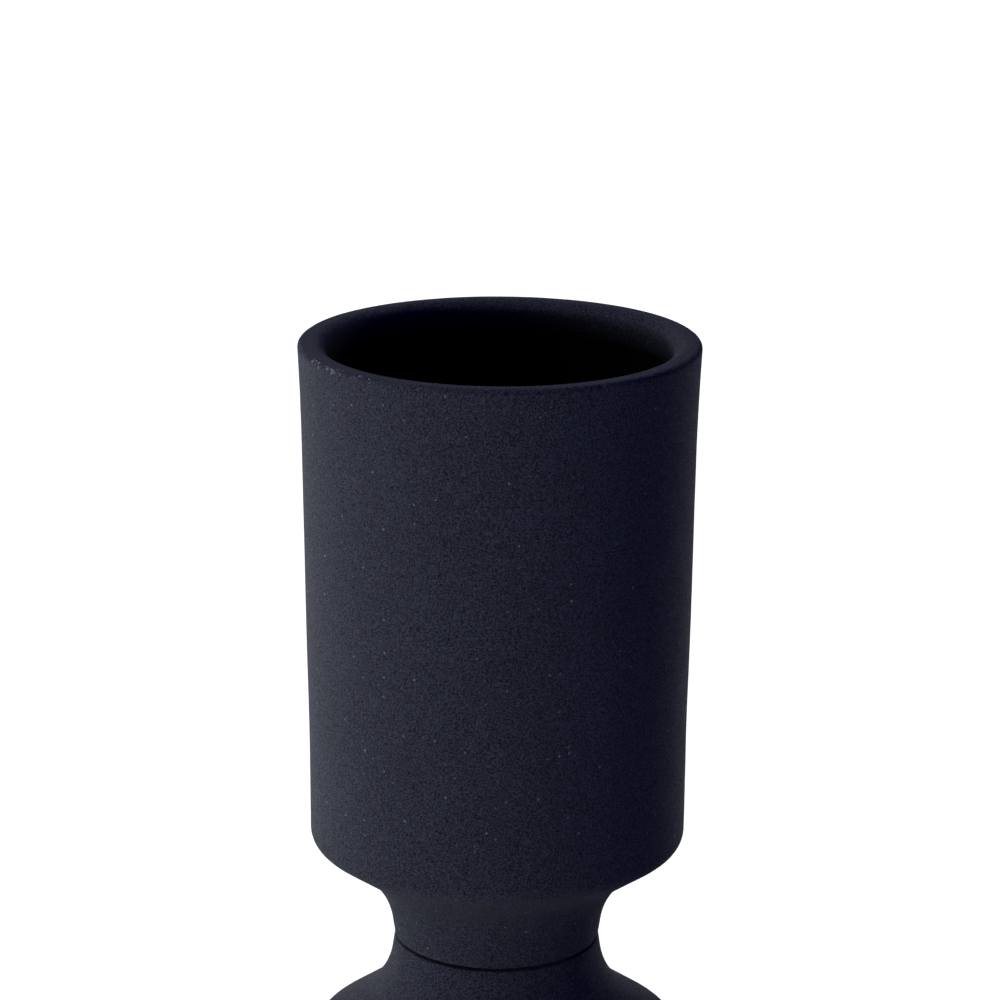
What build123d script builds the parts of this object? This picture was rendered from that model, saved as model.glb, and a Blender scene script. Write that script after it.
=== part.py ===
"""Empty stoneware candle jar on a short pedestal base.

The jar stands on the base with a thin ring between them, and a spigot on the base keeps it
centred. The base is hollow, open underneath, and stands on four felt pads.

Millimetres, +Z up. The origin is the centre of the table contact, under the base.
"""
import os
from math import cos, radians, tan

from build123d import *

os.makedirs("parts", exist_ok=True)

# ---- driving dimensions ----------------------------------------------------------------

# heights
JAR_HEIGHT = 131.8          # foot to rim
BASE_TOP = 45.0             # table to the face that carries the jar
PAD_THICKNESS = 1.0         # felt under the base
SEAT_THICKNESS = 0.7        # ring between jar and base

# outline shared by the jar's lower half and the base, which mirror each other at the seam
FOOT_RADIUS = 22.15         # at the seam
NECK_LEAN = 9.0             # degrees from vertical, wider away from the seam
NECK_CURVE = 19.0           # hollow between neck and cone
CONE_SLOPE = 34.8           # degrees from horizontal
CORNER_RADIUS = 40.25       # where cone and wall would meet, before rounding
CORNER_DEPTH = 22.9         # distance of that corner from the seam
CORNER_CURVE = 3.2          # rounding between cone and wall
WALL_DRAFT = 0.0125         # gain in radius per millimetre away from the seam
SEAM_ROUNDING = 0.3         # softened edges at the seam

# lip of the jar
FLARE_LENGTH = 24.0         # height over which the wall curves outward
RIM_RADIUS = 42.2          # widest part of the lip
RIM_ROUNDING = 1.1          # outer edge
LIP_CURVE = 3.2             # rounding from the lip into the bore

# inside of the jar
BORE_RADIUS = 36.0
FLOOR_ABOVE_FOOT = 23.8
FLOOR_CURVE = 8.0

# joint between jar and base
RECESS_RADIUS = 16.0        # hollow in the jar's foot
RECESS_DEPTH = 17.8
RECESS_CURVE = 4.0
RECESS_EDGE_ROUNDING = 0.6
SPIGOT_RADIUS = 15.5        # 0.5 mm clear of the recess all round
SPIGOT_HEIGHT = 10.0
SPIGOT_ROUNDING = 1.5
SEAT_INNER_RADIUS = 16.6
SEAT_OUTER_RADIUS = 20.6
SEAT_ROUNDING = 0.15

# inside of the base
HOLLOW_RADIUS = 31.5
HOLLOW_TOP_RADIUS = 9.5     # narrow end, inside the spigot
HOLLOW_CURVE = 6.0
NECK_BORE_RADIUS = 16.0     # where the hollow enters the neck
CONE_SHELL = 6.0            # clay between cone and hollow
CROWN_SHELL = 6.0           # clay above the hollow
CROWN_CURVE = 4.0
STAND_ROUNDING = 1.5        # outer edge that faces the table
STAND_INNER_ROUNDING = 0.6

# felt pads
PAD_COUNT = 4
PAD_RADIUS = 3.2
PAD_CIRCLE_RADIUS = 35.4
PAD_FIRST_ANGLE = 45.0
PAD_ROUNDING = 0.25

# ---- worked-out positions --------------------------------------------------------------

JAR_FOOT = BASE_TOP + SEAT_THICKNESS
JAR_RIM = JAR_FOOT + JAR_HEIGHT
JAR_FLOOR = JAR_FOOT + FLOOR_ABOVE_FOOT
RECESS_TOP = JAR_FOOT + RECESS_DEPTH
SPIGOT_TOP = BASE_TOP + SPIGOT_HEIGHT
HOLLOW_TOP = SPIGOT_TOP - CROWN_SHELL

NECK_GAIN = tan(radians(NECK_LEAN))
CONE_GAIN = tan(radians(CONE_SLOPE))

# distance from the seam at which the straight neck and the cone would meet, before rounding
NECK_DEPTH = (CORNER_DEPTH - (CORNER_RADIUS - FOOT_RADIUS) * CONE_GAIN) / (1 - NECK_GAIN * CONE_GAIN)
NECK_RADIUS = FOOT_RADIUS + NECK_DEPTH * NECK_GAIN


def wall_radius(distance):
    """Radius of the plain wall at a distance from the seam."""
    return CORNER_RADIUS + (distance - CORNER_DEPTH) * WALL_DRAFT


def hollow_height(radius):
    """Height of the sloping ceiling of the base's hollow, parallel to the cone outside."""
    cone_height = BASE_TOP - CORNER_DEPTH + (CORNER_RADIUS - radius) * CONE_GAIN
    return cone_height - CONE_SHELL / cos(radians(CONE_SLOPE))


def round_corners(sketch, roundings):
    """Round a profile's corners, given as (corner, radius) pairs."""
    for corner, radius in roundings:
        vertex = sketch.vertices().sort_by_distance(corner)[0]
        fillet(vertex, radius=radius)


# ---- jar: one turned vessel with a lip, a conical underside and a foot -------------------

recess_top = (RECESS_RADIUS, RECESS_TOP)
recess_edge = (RECESS_RADIUS, JAR_FOOT)
foot_edge = (FOOT_RADIUS, JAR_FOOT)
jar_neck = (NECK_RADIUS, JAR_FOOT + NECK_DEPTH)
jar_corner = (CORNER_RADIUS, JAR_FOOT + CORNER_DEPTH)
flare_start = (wall_radius(JAR_HEIGHT - FLARE_LENGTH), JAR_RIM - FLARE_LENGTH)
rim_edge = (RIM_RADIUS, JAR_RIM)
lip_inner = (BORE_RADIUS, JAR_RIM)
floor_corner = (BORE_RADIUS, JAR_FLOOR)

with BuildPart() as jar:
    with BuildSketch(Plane.XZ) as jar_profile:
        with BuildLine():
            Polyline((0, RECESS_TOP), recess_top, recess_edge, foot_edge, jar_neck, jar_corner, flare_start)
            TangentArc(flare_start, rim_edge, tangent=(WALL_DRAFT, 1))
            Polyline(rim_edge, lip_inner, floor_corner, (0, JAR_FLOOR), (0, RECESS_TOP))
        make_face()
        round_corners(
            jar_profile,
            [
                (recess_top, RECESS_CURVE),
                (recess_edge, RECESS_EDGE_ROUNDING),
                (foot_edge, SEAM_ROUNDING),
                (jar_neck, NECK_CURVE),
                (jar_corner, CORNER_CURVE),
                (rim_edge, RIM_ROUNDING),
                (lip_inner, LIP_CURVE),
                (floor_corner, FLOOR_CURVE),
            ],
        )
    revolve(axis=Axis.Z)

jar.part.label = "jar"
export_step(jar.part, "parts/jar.step")

# ---- base: the same outline upside down, with a spigot on top and a hollow underneath ----

spigot_edge = (SPIGOT_RADIUS, SPIGOT_TOP)
spigot_root = (SPIGOT_RADIUS, BASE_TOP)
seam_edge = (FOOT_RADIUS, BASE_TOP)
base_neck = (NECK_RADIUS, BASE_TOP - NECK_DEPTH)
base_corner = (CORNER_RADIUS, BASE_TOP - CORNER_DEPTH)
stand_edge = (wall_radius(BASE_TOP - PAD_THICKNESS), PAD_THICKNESS)
stand_inner = (HOLLOW_RADIUS, PAD_THICKNESS)
hollow_shoulder = (HOLLOW_RADIUS, hollow_height(HOLLOW_RADIUS))
hollow_neck = (NECK_BORE_RADIUS, hollow_height(NECK_BORE_RADIUS))
hollow_crown = (HOLLOW_TOP_RADIUS, HOLLOW_TOP)

with BuildPart() as base:
    with BuildSketch(Plane.XZ) as base_profile:
        with BuildLine():
            Polyline((0, SPIGOT_TOP), spigot_edge, spigot_root, seam_edge, base_neck, base_corner, stand_edge)
            Polyline(stand_edge, stand_inner, hollow_shoulder, hollow_neck, hollow_crown)
            Polyline(hollow_crown, (0, HOLLOW_TOP), (0, SPIGOT_TOP))
        make_face()
        round_corners(
            base_profile,
            [
                (spigot_edge, SPIGOT_ROUNDING),
                (seam_edge, SEAM_ROUNDING),
                (base_neck, NECK_CURVE),
                (base_corner, CORNER_CURVE),
                (stand_edge, STAND_ROUNDING),
                (stand_inner, STAND_INNER_ROUNDING),
                (hollow_shoulder, HOLLOW_CURVE),
                (hollow_neck, HOLLOW_CURVE),
                (hollow_crown, CROWN_CURVE),
            ],
        )
    revolve(axis=Axis.Z)

base.part.label = "base"
export_step(base.part, "parts/base.step")

# ---- seat ring: thin washer, set back from the seam's edge -------------------------------

with BuildPart() as seat_ring:
    with BuildSketch(Plane.XY.offset(BASE_TOP)):
        Circle(SEAT_OUTER_RADIUS)
        Circle(SEAT_INNER_RADIUS, mode=Mode.SUBTRACT)
    extrude(amount=SEAT_THICKNESS)
    fillet(seat_ring.edges().filter_by(GeomType.CIRCLE), radius=SEAT_ROUNDING)

seat_ring.part.label = "seat_ring"
export_step(seat_ring.part, "parts/seat_ring.step")

# ---- felt pads: equal discs under the base's stand ring ----------------------------------

for index in range(PAD_COUNT):
    angle = PAD_FIRST_ANGLE + index * 360 / PAD_COUNT
    centre = Vector(PAD_CIRCLE_RADIUS, 0, 0).rotate(Axis.Z, angle)
    with BuildPart() as felt_pad:
        with BuildSketch(Plane(origin=centre)):
            Circle(PAD_RADIUS)
        extrude(amount=PAD_THICKNESS)
        fillet(felt_pad.edges().group_by(Axis.Z)[0], radius=PAD_ROUNDING)
    felt_pad.part.label = f"felt_pad_{index + 1}"
    export_step(felt_pad.part, f"parts/{felt_pad.part.label}.step")
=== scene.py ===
import math
import random

import bpy
import numpy as np
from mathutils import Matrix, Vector, noise


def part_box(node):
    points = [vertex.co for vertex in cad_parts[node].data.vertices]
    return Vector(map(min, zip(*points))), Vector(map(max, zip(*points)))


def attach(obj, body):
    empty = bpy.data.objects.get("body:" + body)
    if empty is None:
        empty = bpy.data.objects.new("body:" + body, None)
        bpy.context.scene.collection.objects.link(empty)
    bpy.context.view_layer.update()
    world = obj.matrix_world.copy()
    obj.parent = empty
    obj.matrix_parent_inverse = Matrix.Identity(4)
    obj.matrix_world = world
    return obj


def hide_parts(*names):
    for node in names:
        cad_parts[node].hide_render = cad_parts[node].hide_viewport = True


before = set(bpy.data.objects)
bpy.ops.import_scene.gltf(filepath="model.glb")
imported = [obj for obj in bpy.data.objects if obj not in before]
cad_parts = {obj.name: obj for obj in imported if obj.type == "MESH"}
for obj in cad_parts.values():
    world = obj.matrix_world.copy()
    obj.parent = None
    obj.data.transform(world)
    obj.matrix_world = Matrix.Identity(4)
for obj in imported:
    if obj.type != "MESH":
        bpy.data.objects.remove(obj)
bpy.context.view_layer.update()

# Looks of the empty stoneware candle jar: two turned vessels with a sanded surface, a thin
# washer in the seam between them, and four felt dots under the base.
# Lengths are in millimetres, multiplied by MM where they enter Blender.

MM = 0.001

# ---- shape of the turned vessels, the same driving dimensions as the CAD ------------------

FOOT_RADIUS = 22.15
NECK_GAIN = math.tan(math.radians(9.0))
CONE_GAIN = math.tan(math.radians(34.8))
NECK_CURVE = 19.0
CORNER_RADIUS = 40.25
CORNER_DEPTH = 22.9
CORNER_CURVE = 3.2
WALL_DRAFT = 0.0125
SEAM_ROUNDING = 0.3
CONE_RISE = (CORNER_RADIUS - FOOT_RADIUS) * CONE_GAIN
NECK_DEPTH = (CORNER_DEPTH - CONE_RISE) / (1 - NECK_GAIN * CONE_GAIN)
NECK_RADIUS = FOOT_RADIUS + NECK_DEPTH * NECK_GAIN

JAR_HEIGHT = 131.8
FLARE_LENGTH = 24.0
RIM_RADIUS = 42.2
RIM_ROUNDING = 1.1
LIP_CURVE = 3.2
BORE_RADIUS = 36.0
FLOOR_ABOVE_FOOT = 23.8
FLOOR_CURVE = 8.0
RECESS_RADIUS = 16.0
RECESS_DEPTH = 17.8
RECESS_CURVE = 4.0
RECESS_EDGE_ROUNDING = 0.6

SPIGOT_RADIUS = 15.5
SPIGOT_HEIGHT = 10.0
SPIGOT_ROUNDING = 1.5
HOLLOW_RADIUS = 31.5
HOLLOW_TOP_RADIUS = 9.5
HOLLOW_CURVE = 6.0
NECK_BORE_RADIUS = 16.0
SHELL = 6.0
CROWN_CURVE = 4.0
STAND_ROUNDING = 1.5
STAND_INNER_ROUNDING = 0.6

jar_low, jar_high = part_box("jar")
base_low, base_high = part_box("base")
JAR_FOOT = jar_low.z / MM
BASE_STAND = base_low.z / MM
BASE_TOP = base_high.z / MM - SPIGOT_HEIGHT
JAR_RIM = JAR_FOOT + JAR_HEIGHT
JAR_FLOOR = JAR_FOOT + FLOOR_ABOVE_FOOT

# mesh density
COLUMNS = 256              # round the axis, doubled twice towards the rim
ARC_STEP = 0.45            # spacing along rounded edges
WALL_STEP = 1.5            # spacing along visible straight runs
HIDDEN_STEP = 4.0          # spacing inside the hollows
RIM_STEP = 0.26            # spacing over the rim, where the chips are
FINE_REACH = 3.2           # how far the fine mesh runs down from the rim


def corner_arc(before, corner, after, radius):
    """Start, centre and end of the arc that rounds a corner of an outline."""
    corner = np.array(corner)
    back = np.array(before) - corner
    ahead = np.array(after) - corner
    back /= np.linalg.norm(back)
    ahead /= np.linalg.norm(ahead)
    half = math.acos(float(np.clip(back @ ahead, -1, 1))) / 2
    reach = radius / math.tan(half)
    middle = back + ahead
    centre = corner + middle / np.linalg.norm(middle) * radius / math.sin(half)
    return corner + back * reach, centre, corner + ahead * reach


def outline(corners, arc_step=ARC_STEP):
    """Points along a turned outline. Each corner is (radius, height, rounding, step of the run to it)."""
    points = [np.array(corners[0][:2], float)]
    for i in range(1, len(corners)):
        corner = corners[i]
        last = i == len(corners) - 1
        if corner[2] and not last:
            start, centre, end = corner_arc(corners[i - 1][:2], corner[:2], corners[i + 1][:2], corner[2])
        else:
            start = centre = end = np.array(corner[:2], float)
        run = np.linalg.norm(start - points[-1])
        pieces = max(1, round(run / corner[3]))
        origin = points[-1]
        points += [origin + (start - origin) * k / pieces for k in range(1, pieces + 1)]
        if corner[2] and not last:
            first = math.atan2(*(start - centre)[::-1])
            turn = math.atan2(*(end - centre)[::-1]) - first
            turn = (turn + math.pi) % (2 * math.pi) - math.pi
            count = max(3, round(abs(turn) * corner[2] / arc_step))
            for k in range(1, count + 1):
                angle = first + turn * k / count
                points.append(centre + corner[2] * np.array([math.cos(angle), math.sin(angle)]))
    return points


def wall_radius(distance):
    """Radius of the plain wall at a distance from the seam."""
    return CORNER_RADIUS + (distance - CORNER_DEPTH) * WALL_DRAFT


def flare(steps=16):
    """Corners up the lip, where the wall curves outward."""
    start = JAR_HEIGHT - FLARE_LENGTH
    gain = RIM_RADIUS - wall_radius(JAR_HEIGHT)
    for k in range(steps):
        share = k / steps
        distance = start + FLARE_LENGTH * share
        step = WALL_STEP if FLARE_LENGTH * (1 - share) > FINE_REACH else RIM_STEP
        yield wall_radius(distance) + gain * share * share, JAR_FOOT + distance, 0, step


jar_outline = outline([
    (0, JAR_FOOT + RECESS_DEPTH, 0, HIDDEN_STEP),
    (RECESS_RADIUS, JAR_FOOT + RECESS_DEPTH, RECESS_CURVE, HIDDEN_STEP),
    (RECESS_RADIUS, JAR_FOOT, RECESS_EDGE_ROUNDING, HIDDEN_STEP),
    (FOOT_RADIUS, JAR_FOOT, SEAM_ROUNDING, WALL_STEP),
    (NECK_RADIUS, JAR_FOOT + NECK_DEPTH, NECK_CURVE, WALL_STEP),
    (CORNER_RADIUS, JAR_FOOT + CORNER_DEPTH, CORNER_CURVE, WALL_STEP),
    *flare(),
    (RIM_RADIUS, JAR_RIM, RIM_ROUNDING, RIM_STEP),
    (BORE_RADIUS, JAR_RIM, LIP_CURVE, RIM_STEP),
    (BORE_RADIUS, JAR_FLOOR, FLOOR_CURVE, HIDDEN_STEP),
    (0, JAR_FLOOR, 0, HIDDEN_STEP),
])


def hollow_height(radius):
    """Height of the sloping ceiling of the base's hollow."""
    cone_height = BASE_TOP - CORNER_DEPTH + (CORNER_RADIUS - radius) * CONE_GAIN
    return cone_height - SHELL * math.hypot(1, CONE_GAIN)


SPIGOT_TOP = BASE_TOP + SPIGOT_HEIGHT
HOLLOW_TOP = SPIGOT_TOP - SHELL

base_outline = outline([
    (0, HOLLOW_TOP, 0, HIDDEN_STEP),
    (HOLLOW_TOP_RADIUS, HOLLOW_TOP, CROWN_CURVE, HIDDEN_STEP),
    (NECK_BORE_RADIUS, hollow_height(NECK_BORE_RADIUS), HOLLOW_CURVE, HIDDEN_STEP),
    (HOLLOW_RADIUS, hollow_height(HOLLOW_RADIUS), HOLLOW_CURVE, HIDDEN_STEP),
    (HOLLOW_RADIUS, BASE_STAND, STAND_INNER_ROUNDING, HIDDEN_STEP),
    (wall_radius(BASE_TOP - BASE_STAND), BASE_STAND, STAND_ROUNDING, WALL_STEP),
    (CORNER_RADIUS, BASE_TOP - CORNER_DEPTH, CORNER_CURVE, WALL_STEP),
    (NECK_RADIUS, BASE_TOP - NECK_DEPTH, NECK_CURVE, WALL_STEP),
    (FOOT_RADIUS, BASE_TOP, SEAM_ROUNDING, WALL_STEP),
    (SPIGOT_RADIUS, BASE_TOP, 0, WALL_STEP),
    (SPIGOT_RADIUS, SPIGOT_TOP, SPIGOT_ROUNDING, WALL_STEP),
    (0, SPIGOT_TOP, 0, WALL_STEP),
])

# ---- hand-made unevenness and the worn rim ------------------------------------------------

FRONT = -90.0              # degrees: the side that faces -Y
UNEVEN = 0.09              # depth of the long, slow hollows and swells in the wall
UNEVEN_LENGTH = 34.0
RIPPLE = 0.020             # short ripples
RIPPLE_LENGTH = 3.5
WAIST = 0.16               # slight waist of the jar's wall
WAIST_DISTANCE = 50.0      # its height above the seam
WAIST_LENGTH = 16.0
SEAM_HOLD = 3.0            # the unevenness fades out this near the seam and the stand
RIM_HOLD = 12.0            # nearer the rim than this, there are hollows but no swells
RIM_INWARD = 0.6           # how much of the unevenness is added as depth at the rim
RIM_LEAST = 0.1            # the least depth there, as a share of that
WORN_SIDE = (FRONT - 69.0, FRONT - 35.0)
WORN_DEPTH = 2.2           # how far the wear reaches down the wall
WORN_BROAD = 0.55          # wear of the whole worn stretch, of 1
WORN_CHIP = 0.8            # wear at a chip, added to that
CHIP_REACH = 5.0           # no chip or wear further from the rim's outer edge than this
PAINTED_SHADE_DEPTHS = (0.6, 6.0)   # depths below the rim between which the clay turns dark with painted shade


def rim_chips(seed=11):
    """Chips along the rim's outer edge: (angle, distance down the wall, half width, depth)."""
    rng = random.Random(seed)
    chips = []
    # many on the worn side
    for _ in range(34):
        angle = rng.uniform(*WORN_SIDE)
        chips.append((angle, rng.uniform(-0.6, 0.8), rng.uniform(0.25, 0.65), rng.uniform(0.08, 0.2)))
    # single ones along the front
    for angle, width in ((FRONT - 23.0, 0.5), (FRONT - 11.0, 0.6), (FRONT + 3.0, 0.7), (FRONT + 50.0, 0.4)):
        chips.append((angle, rng.uniform(0.2, 0.6), width, 0.16))
    # small ones all round
    for _ in range(22):
        chips.append((rng.uniform(-180, 180), rng.uniform(-0.2, 0.6), rng.uniform(0.2, 0.45), 0.1))
    return chips


CHIPS = rim_chips()


def angle_apart(a, b):
    """Smallest difference of two angles, in degrees."""
    return abs((a - b + 180) % 360 - 180)


def chip_at(angle, down, radius):
    """How deep the rim is chipped at a point, and how near the point is to a chip, 0 to 1."""
    depth = near = 0.0
    for chip_angle, chip_down, width, chip_depth in CHIPS:
        across = math.radians(angle_apart(angle, chip_angle)) * radius
        if across > 3 * width:
            continue
        spread = math.exp(-(across ** 2 + (down - chip_down) ** 2) / width ** 2)
        depth = max(depth, chip_depth * spread)
        near = max(near, spread)
    return depth, near


def worn_share(angle, down):
    """Broad mask of the worn stretch of the rim, 0 to 1."""
    middle = sum(WORN_SIDE) / 2
    reach = (WORN_SIDE[1] - WORN_SIDE[0]) / 2
    along = max(0.0, 1 - (angle_apart(angle, middle) / reach) ** 4)
    below = math.exp(-(max(down, 0) / WORN_DEPTH) ** 2) if down > -1 else 0.0
    return along * below


def hollows(point, from_end, from_rim):
    """Depth of the slow hollows and ripples at a point, from its distances to the ends, in millimetres."""
    depth = UNEVEN * noise.noise(point / UNEVEN_LENGTH) + RIPPLE * noise.noise(point / RIPPLE_LENGTH)
    inward = min(1.0, max(0.0, 1 - from_rim / RIM_HOLD)) * (UNEVEN + RIPPLE) * RIM_INWARD
    least = inward * RIM_LEAST if inward else -1.0
    return max(depth + inward, least) * min(1.0, max(0.0, from_end) / SEAM_HOLD)


# ---- turned meshes -------------------------------------------------------------------------

def along_outline(points):
    """Distance of each point from the outline's start."""
    steps = [float(np.linalg.norm(b - a)) for a, b in zip(points, points[1:])]
    return np.concatenate([[0.0], np.cumsum(steps)])


def outward(points, i):
    """Direction out of the clay at a point of an outline."""
    before = points[max(i - 1, 0)]
    after = points[min(i + 1, len(points) - 1)]
    run = (after - before) / np.linalg.norm(after - before)
    return np.array([run[1], -run[0]])


def bridge(faces, low, high):
    """Faces between two rings of vertices, the same size or one twice the other."""
    if len(low) == 1 or len(high) == 1:
        pole, ring = (low, high) if len(low) == 1 else (high, low)
        for k in range(len(ring)):
            near, far = ring[k], ring[(k + 1) % len(ring)]
            faces.append((pole[0], far, near) if pole is low else (pole[0], near, far))
        return
    count = min(len(low), len(high))
    for k in range(count):
        after = (k + 1) % count
        if len(low) == len(high):
            faces.append((low[k], low[after], high[after], high[k]))
        elif len(high) > len(low):
            a, b, c = high[2 * k], high[2 * k + 1], high[(2 * k + 2) % len(high)]
            faces += [(low[k], b, a), (low[k], low[after], b), (low[after], c, b)]
        else:
            a, b, c = low[2 * k], low[2 * k + 1], low[(2 * k + 2) % len(low)]
            faces += [(a, b, high[k]), (b, high[after], high[k]), (b, c, high[after])]


def turned(name, points, columns, surface, centre=(0.0, 0.0), closed=False):
    """A turned mesh. columns[i] is a ring's vertex count, and surface(point, angle, i) gives a
    point's depth below the outline, its wear, and its painted shade within the jar, 0 to 1."""
    vertices, rings, faces = [], [], []
    looks = {"wear": [], "inside": []}
    for i, (radius, height) in enumerate(points):
        count = 1 if radius < 1e-6 else columns[i]
        normal = outward(points, i)
        ring = []
        for k in range(count):
            angle = 2 * math.pi * k / count
            x, y = math.cos(angle), math.sin(angle)
            depth, wear, inside = surface(Vector((radius * x, radius * y, height)), math.degrees(angle), i)
            moved = radius - normal[0] * depth if count > 1 else 0.0
            place = (centre[0] + moved * x, centre[1] + moved * y, height - normal[1] * depth)
            vertices.append([value * MM for value in place])
            looks["wear"].append(wear)
            looks["inside"].append(inside)
            ring.append(len(vertices) - 1)
        if rings:
            bridge(faces, rings[-1], ring)
        rings.append(ring)
    if closed:
        bridge(faces, rings[-1], rings[0])
    mesh = bpy.data.meshes.new(name)
    mesh.from_pydata(vertices, [], faces)
    mesh.shade_smooth()
    for look, values in looks.items():
        mesh.attributes.new(look, "FLOAT", "POINT").data.foreach_set("value", values)
    piece = bpy.data.objects.new(name, mesh)
    bpy.context.scene.collection.objects.link(piece)
    return piece


def add_piece(piece, body, node, material):
    """Put a finished piece on its body, in the place of its CAD node."""
    piece.data.materials.append(material)
    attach(piece, body)
    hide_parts(node)


# ---- materials -------------------------------------------------------------------------------

class Nodes:
    """Short calls for one material's node tree, in object coordinates, metres."""

    def __init__(self, name):
        self.material = bpy.data.materials.new(name)
        self.material.use_nodes = True
        self.tree = self.material.node_tree
        self.shader = self.tree.nodes["Principled BSDF"]
        self.place = self.tree.nodes.new("ShaderNodeTexCoord").outputs["Object"]

    def put(self, kind, inputs, **settings):
        """A node with its settings, and its inputs given as values or as other nodes' outputs."""
        made = self.tree.nodes.new(kind)
        for key, value in settings.items():
            setattr(made, key, value)
        for key, value in inputs.items():
            if isinstance(value, bpy.types.NodeSocket):
                self.tree.links.new(value, made.inputs[key])
            else:
                made.inputs[key].default_value = value
        return made

    def noise(self, size, detail=2.0, roughness=0.5):
        """Soft noise whose features are about size millimetres."""
        scale = 1 / (size * MM)
        inputs = {"Vector": self.place, "Scale": scale, "Detail": detail, "Roughness": roughness}
        return self.put("ShaderNodeTexNoise", inputs).outputs["Fac"]

    def cells(self, size):
        """Distance to, and random colour of, the nearest grain centre; grains are size apart."""
        inputs = {"Vector": self.place, "Scale": 1 / (size * MM)}
        made = self.put("ShaderNodeTexVoronoi", inputs)
        return made.outputs["Distance"], made.outputs["Color"]

    def ramp(self, value, low, high, out_low=0.0, out_high=1.0, smooth=False):
        """value from low..high brought to out_low..out_high, clamped."""
        inputs = {"Value": value, "From Min": low, "From Max": high, "To Min": out_low, "To Max": out_high}
        kind = "SMOOTHSTEP" if smooth else "LINEAR"
        return self.put("ShaderNodeMapRange", inputs, interpolation_type=kind).outputs["Result"]

    def math(self, operation, a, b=0.0):
        """One arithmetic step."""
        return self.put("ShaderNodeMath", {0: a, 1: b}, operation=operation).outputs[0]

    def scaled(self, colour, value):
        """A colour made lighter or darker by a value."""
        made = self.put("ShaderNodeVectorMath", {0: colour, "Scale": value}, operation="SCALE")
        return made.outputs["Vector"]

    def mixed(self, share, a, b):
        """From colour a to colour b."""
        made = self.put("ShaderNodeMix", {"Factor": share, 6: a, 7: b}, data_type="RGBA")
        return made.outputs[2]

    def bump(self, height, distance, strength=1.0, under=None):
        """Surface relief, distance in millimetres."""
        inputs = {"Height": height, "Distance": distance * MM, "Strength": strength}
        if under is not None:
            inputs["Normal"] = under
        return self.put("ShaderNodeBump", inputs).outputs["Normal"]

    def finish(self, **inputs):
        """Set the shader's own sockets and return the material."""
        for key, value in inputs.items():
            socket = self.shader.inputs[key.replace("_", " ")]
            if isinstance(value, bpy.types.NodeSocket):
                self.tree.links.new(value, socket)
            else:
                socket.default_value = value
        return self.material


CLAY = (0.0400, 0.0420, 0.0685)
WORN_CLAY = (0.30, 0.31, 0.36, 1.0)


def stoneware():
    """Sanded, unglazed, blue-black stoneware: sand grains, faint clouds, light specks and worn edges, with
    painted shade darkening the clay down within the jar.
    """
    n = Nodes("stoneware")
    sand = n.noise(0.36, detail=2.0, roughness=0.8)
    fine = n.noise(0.24, detail=0.0)
    cloud = n.noise(22.0, detail=3.0)
    wear = n.put("ShaderNodeAttribute", {}, attribute_name="wear").outputs["Fac"]

    # sand grains and clouds; painted shade darkens the clay down within the jar, as the photograph shows
    # almost no light there
    grains = n.ramp(sand, 0.37, 0.63, 0.02, 1.98)
    tint = n.math("MULTIPLY", grains, n.ramp(cloud, 0.3, 0.7, 0.94, 1.06))
    inside = n.put("ShaderNodeAttribute", {}, attribute_name="inside").outputs["Fac"]
    clay = n.scaled(CLAY, n.math("MULTIPLY", tint, n.ramp(inside, 0, 1, 1.0, 0.03)))

    # a few light grains, each of its own brightness
    distance, colour = n.cells(2.1)
    chance = n.put("ShaderNodeSeparateColor", {"Color": colour}).outputs["Red"]
    # painted shade: the light grains fade out down within the jar
    shine = n.math("MULTIPLY", n.ramp(chance, 0.72, 1.0, 0.1, 0.9), n.ramp(inside, 0, 1, 1.0, 0.0))
    spots = n.math("MULTIPLY", shine, n.ramp(distance, 0.08, 0.15, 1.0, 0.0))

    # crumbs of bare clay where the rim is worn
    distance, colour = n.cells(0.62)
    chance = n.put("ShaderNodeSeparateColor", {"Color": colour}).outputs["Green"]
    share = n.math("ADD", n.math("MULTIPLY", wear, 0.75), n.math("MULTIPLY", chance, 0.5))
    crumbs = n.math("MULTIPLY", n.ramp(share, 0.80, 1.05), n.ramp(distance, 0.30, 0.62, 1.0, 0.0))

    grain = n.bump(sand, 0.65, 1.0)
    relief = n.bump(fine, 0.10, 0.6, under=grain)
    return n.finish(
        Base_Color=n.mixed(n.math("MAXIMUM", spots, crumbs), clay, WORN_CLAY),
        Roughness=n.ramp(fine, 0.3, 0.7, 0.82, 0.98),
        # painted shade: the shine is turned down within the jar too
        Specular_IOR_Level=n.ramp(inside, 0, 1, 0.3, 0.02),
        Normal=relief,
    )


def silicone():
    """Matte black washer with a faint dusty mottle; its near-black, bluish tone is partly painted shade for
    the shadow in the seam.
    """
    n = Nodes("silicone")
    dust = n.noise(1.2, detail=4.0)
    # the washer's own black, pushed further to near black and bluish as painted shade for the seam's shadow
    # line
    colour = n.mixed(n.ramp(dust, 0.45, 0.75), (0.003, 0.003, 0.006, 1.0), (0.009, 0.009, 0.014, 1.0))
    return n.finish(
        Base_Color=colour,
        Roughness=n.ramp(dust, 0.3, 0.7, 0.5, 0.75),
        Normal=n.bump(n.noise(0.3), 0.02, 0.4),
    )


def felt():
    """Pressed wool felt: matted fibres, a little lighter on top of the fuzz."""
    n = Nodes("felt")
    fibre = n.noise(0.18, detail=4.0, roughness=0.7)
    clump = n.noise(1.1, detail=3.0)
    shade = n.math("MULTIPLY", n.ramp(fibre, 0.3, 0.7, 0.5, 1.6), n.ramp(clump, 0.3, 0.7, 0.8, 1.2))
    return n.finish(
        Base_Color=n.scaled((0.030, 0.030, 0.034), shade),
        Roughness=n.ramp(fibre, 0.3, 0.7, 0.9, 1.0),
        Sheen_Weight=0.3,
        Normal=n.bump(fibre, 0.12, 0.8),
    )


STONEWARE = stoneware()
SILICONE = silicone()
FELT = felt()

# ---- jar and base ----------------------------------------------------------------------------

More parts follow.
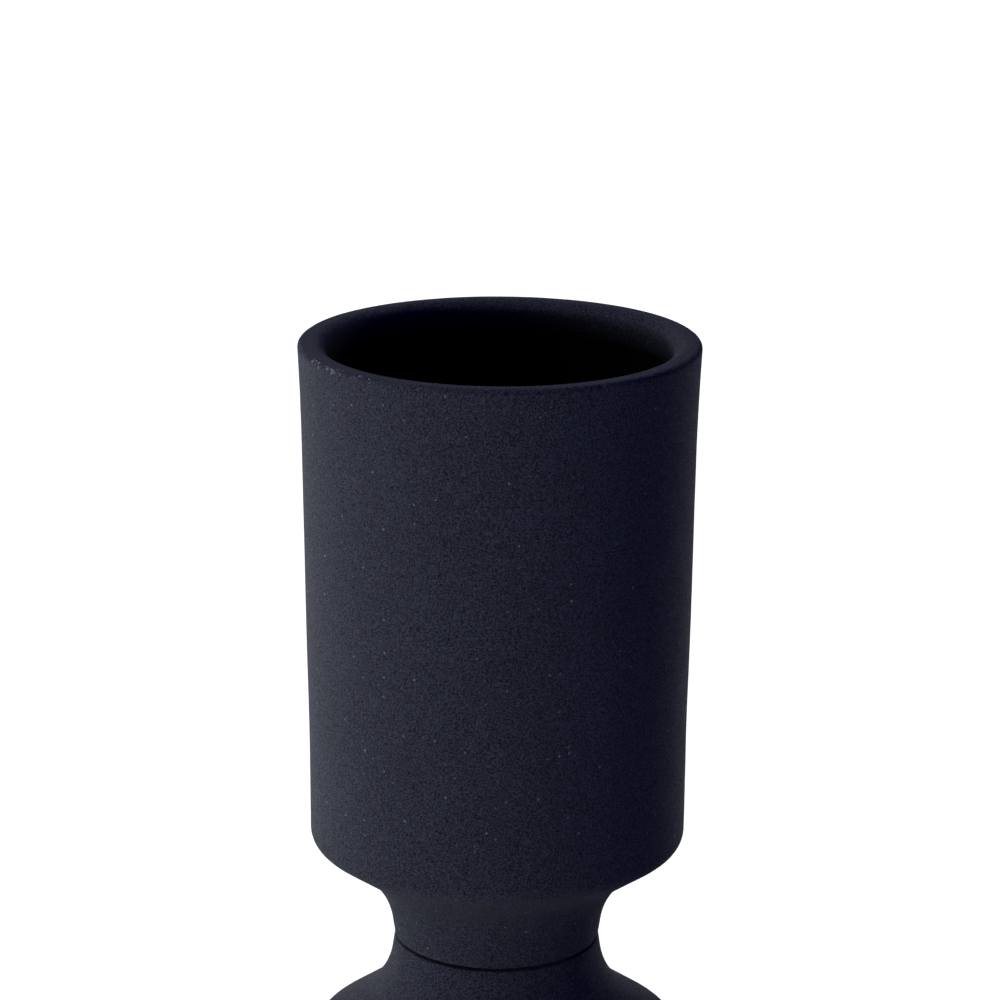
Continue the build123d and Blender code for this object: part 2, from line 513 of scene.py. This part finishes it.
def rim_columns(distances, edge):
    """Ring sizes along the jar's outline: four times finer over the rim, with a step between."""
    levels = [2 if abs(d - edge) < FINE_REACH + LIP_CURVE else 0 for d in distances]
    for i in range(len(levels) - 1):
        if abs(levels[i] - levels[i + 1]) == 2:
            levels[i if levels[i] == 0 else i + 1] = 1
    return [COLUMNS * 2 ** level for level in levels]


def make_jar():
    """The jar, with chips and wear along its rim."""
    distances = along_outline(jar_outline)
    edge = distances[max(range(len(jar_outline)), key=lambda i: sum(jar_outline[i]))]

    def surface(point, angle, i):
        radius = math.hypot(point.x, point.y)
        down = edge - distances[i]
        depth = hollows(point, point.z - JAR_FOOT, JAR_RIM - point.z)
        if radius > BORE_RADIUS + LIP_CURVE:
            rise = (point.z - JAR_FOOT - WAIST_DISTANCE) / WAIST_LENGTH
            depth += WAIST * math.exp(-rise * rise)
        # painted shade within the jar: none near the rim, full a few millimetres below it
        inside = 0.0
        if radius < BORE_RADIUS + 0.5 and point.z > JAR_FLOOR - 1:
            inside = (JAR_RIM - point.z - PAINTED_SHADE_DEPTHS[0]) / (PAINTED_SHADE_DEPTHS[1] - PAINTED_SHADE_DEPTHS[0])
        inside = min(1.0, max(0.0, inside))
        if abs(down) > CHIP_REACH:
            return depth, 0.0, inside
        chip, near = chip_at(angle, down, radius)
        wear = worn_share(angle, down) * WORN_BROAD + near * WORN_CHIP
        return depth + chip, min(1.0, wear), inside

    jar = turned("jar_vessel", jar_outline, rim_columns(distances, edge), surface)
    add_piece(jar, "jar", "jar", STONEWARE)


def make_base():
    """The base, plain turned stoneware."""

    def surface(point, angle, i):
        return hollows(point, min(point.z - BASE_STAND, abs(BASE_TOP - point.z)), JAR_RIM), 0.0, 0.0

    base = turned("base_vessel", base_outline, [COLUMNS] * len(base_outline), surface)
    add_piece(base, "base", "base", STONEWARE)


make_jar()
make_base()

# ---- washer and felt dots ----------------------------------------------------------------------

WASHER_INNER = 16.6          # radius of its hole
WASHER_ROUNDING = 0.15
FELT_RAGGED = 0.12           # how far the felt dots' edges are worn in
FELT_EDGE = 0.9              # the share of a dot's radius where its edge begins


def make_washer():
    """The thin washer in the seam."""
    low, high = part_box("seat_ring")
    outer, bottom, top = high.x / MM, low.z / MM, high.z / MM
    corners = [(WASHER_INNER, bottom), (outer, bottom), (outer, top), (WASHER_INNER, top)]
    points = []
    for i, corner in enumerate(corners):
        start, centre, end = corner_arc(corners[i - 1], corner, corners[(i + 1) % 4], WASHER_ROUNDING)
        middle = np.array(centre) + (np.array(corner) - centre) / math.sqrt(2)
        points += [start, middle, end]
    washer = turned("seam_washer", points, [COLUMNS] * len(points), lambda *_: (0.0, 0.0, 0.0), closed=True)
    add_piece(washer, "seat", "seat_ring", SILICONE)


def make_felt_dot(number):
    """One felt dot: flat where it meets the table, with a soft, slightly ragged edge."""
    node = f"felt_pad_{number}"
    low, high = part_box(node)
    centre = ((low.x + high.x) / 2 / MM, (low.y + high.y) / 2 / MM)
    radius, bottom, top = (high.x - low.x) / 2 / MM, low.z / MM, high.z / MM
    points = outline([
        (0, bottom, 0, 0.4),
        (radius, bottom, 0.25, 0.4),
        (radius, top, 0.1, 0.12),
        (0, top, 0, 0.4),
    ], arc_step=0.1)

    def surface(point, angle, i):
        edge = max(0.0, math.hypot(point.x, point.y) / radius - FELT_EDGE) / (1 - FELT_EDGE)
        ragged = 0.5 + 0.5 * noise.noise((point + Vector((9.0 * number, 0, 0))) * 4.0)
        return FELT_RAGGED * edge * ragged, 0.0, 0.0

    dot = turned(f"felt_dot_{number}", points, [96] * len(points), surface, centre)
    add_piece(dot, "base", node, FELT)


make_washer()
for number in range(1, 5):
    make_felt_dot(number)

# ---- floor, light and camera ---------------------------------------------------------------------

FLOOR_REACH = 6.0            # metres
FLOOR_COLUMNS = 96
PAINTED_FOOT_SHADOW = (0.038, 0.062)  # metres from the axis between which the painted shadow beside the foot, where the floor's emission is turned down, fades out


def make_floor():
    """A wide, plain, pale floor, overexposed to white as in the photograph, but for a soft shade
    close to the foot: partly real shadow on its diffuse share, partly a painted shadow where its emission
    is turned down."""
    n = Nodes("floor")
    seen = n.put("ShaderNodeLightPath", {}).outputs["Is Camera Ray"]
    tone = n.ramp(seen, 0, 1, 0.80, 0.35)
    away = n.put("ShaderNodeVectorMath", {0: n.place}, operation="LENGTH").outputs["Value"]
    # painted shadow: the floor's emission is turned down close to the foot
    glow_with_painted_shadow = n.ramp(away, *PAINTED_FOOT_SHADOW, 0.55, 1.0)
    grey = n.put("ShaderNodeCombineColor", {"Red": tone, "Green": tone, "Blue": tone})
    n.finish(
        Base_Color=grey.outputs["Color"],
        Roughness=0.9,
        Specular_IOR_Level=0.0,
        Emission_Color=(1, 1, 1, 1),
        Emission_Strength=n.math("MULTIPLY", seen, glow_with_painted_shadow),
    )
    mesh = bpy.data.meshes.new("floor")
    circle = [2 * math.pi * k / FLOOR_COLUMNS for k in range(FLOOR_COLUMNS)]
    edge = [(FLOOR_REACH * math.cos(a), FLOOR_REACH * math.sin(a), 0) for a in circle]
    mesh.from_pydata(edge, [], [range(FLOOR_COLUMNS)])
    mesh.materials.append(n.material)
    floor = bpy.data.objects.new("floor", mesh)
    bpy.context.scene.collection.objects.link(floor)


make_floor()

CAMERA_DISTANCE = 708.9      # from the jar's axis, level with the camera
CAMERA_HEIGHT = 348.5
CAMERA_PITCH = 16.175        # degrees down
CAMERA_ROLL = 0.336          # degrees, so that the jar's top leans right
CAMERA_LENS = 126.25
CAMERA_SIDE = 0.19           # to the right of the axis


def make_camera():
    """The photograph's viewpoint."""
    data = bpy.data.cameras.new("camera")
    data.lens = CAMERA_LENS
    data.sensor_width = 36.0
    camera = bpy.data.objects.new("camera", data)
    bpy.context.scene.collection.objects.link(camera)
    camera.location = Vector((CAMERA_SIDE, -CAMERA_DISTANCE, CAMERA_HEIGHT)) * MM
    camera.rotation_mode = "ZYX"     # the roll comes first, about the line of sight
    camera.rotation_euler = (math.radians(90 - CAMERA_PITCH), 0, math.radians(CAMERA_ROLL))
    bpy.context.scene.camera = camera


make_camera()


# Soft lights stand round the jar, mostly on its left. Azimuth 0 is behind the camera and 90 on the
# right: (name, azimuth, elevation, width, height, watts), in degrees and metres
LIGHT_COLOUR = (0.96, 1.0, 0.91)
SOFTBOXES = [
    ("front_left", -43, 1.5, 0.35, 0.20, 4.1),
    ("left_high", -95, 40.0, 0.60, 0.40, 1.7),
    ("back_left_high", -120, 45.0, 0.60, 0.40, 5.4),
    ("back_left_low", -135, 0.5, 0.35, 0.20, 0.9),
    ("back", -165, 10.0, 0.35, 0.22, 1.4),
    ("back_right", 150, 20.0, 0.35, 0.20, 1.2),
]
SOFTBOX_DISTANCE = 1.3       # metres from the aim point
SOFTBOX_AIM = Vector((0, 0, 0.11))

# light that the table throws back up: (name, x, y, side, watts), in metres
BOUNCES = [
    ("bounce_left", -0.35, 0.0, 0.50, 1.1),
    ("bounce_back", 0.0, 0.35, 0.50, 1.8),
]


def make_light(name, width, height, power, place, facing):
    """A soft area light at a place, in metres, shining against the facing direction."""
    data = bpy.data.lights.new(name, "AREA")
    data.shape = "RECTANGLE"
    data.size, data.size_y = width, height
    data.energy = power
    data.color = LIGHT_COLOUR
    light = bpy.data.objects.new(name, data)
    bpy.context.scene.collection.objects.link(light)
    light.location = place
    light.rotation_euler = facing.to_track_quat("Z", "Y").to_euler()
    light.visible_camera = False


for name, azimuth, elevation, width, height, power in SOFTBOXES:
    turn, rise = math.radians(azimuth), math.radians(elevation)
    away = Vector((math.sin(turn) * math.cos(rise), -math.cos(turn) * math.cos(rise), math.sin(rise)))
    make_light(name, width, height, power, SOFTBOX_AIM + away * SOFTBOX_DISTANCE, away)
for name, x, y, side, power in BOUNCES:
    make_light(name, side, side, power, (x, y, 0.002), Vector((0, 0, -1)))

AMBIENT = (0.0, 0.0, 0.12)   # the surround's dim, blue light on the object


def make_world():
    """A plain surround: white where the camera sees it, and a dim, cool light on the object."""
    world = bpy.data.worlds.new("surround")
    world.use_nodes = True
    tree = world.node_tree
    background = tree.nodes["Background"]
    path = tree.nodes.new("ShaderNodeLightPath")
    shown = tree.nodes.new("ShaderNodeMix")
    shown.data_type = "RGBA"
    shown.inputs[6].default_value = (*AMBIENT, 1)
    shown.inputs[7].default_value = (1, 1, 1, 1)
    tree.links.new(path.outputs["Is Camera Ray"], shown.inputs["Factor"])
    tree.links.new(shown.outputs[2], background.inputs["Color"])
    bpy.context.scene.world = world
    bpy.context.scene.view_settings.view_transform = "Standard"


make_world()
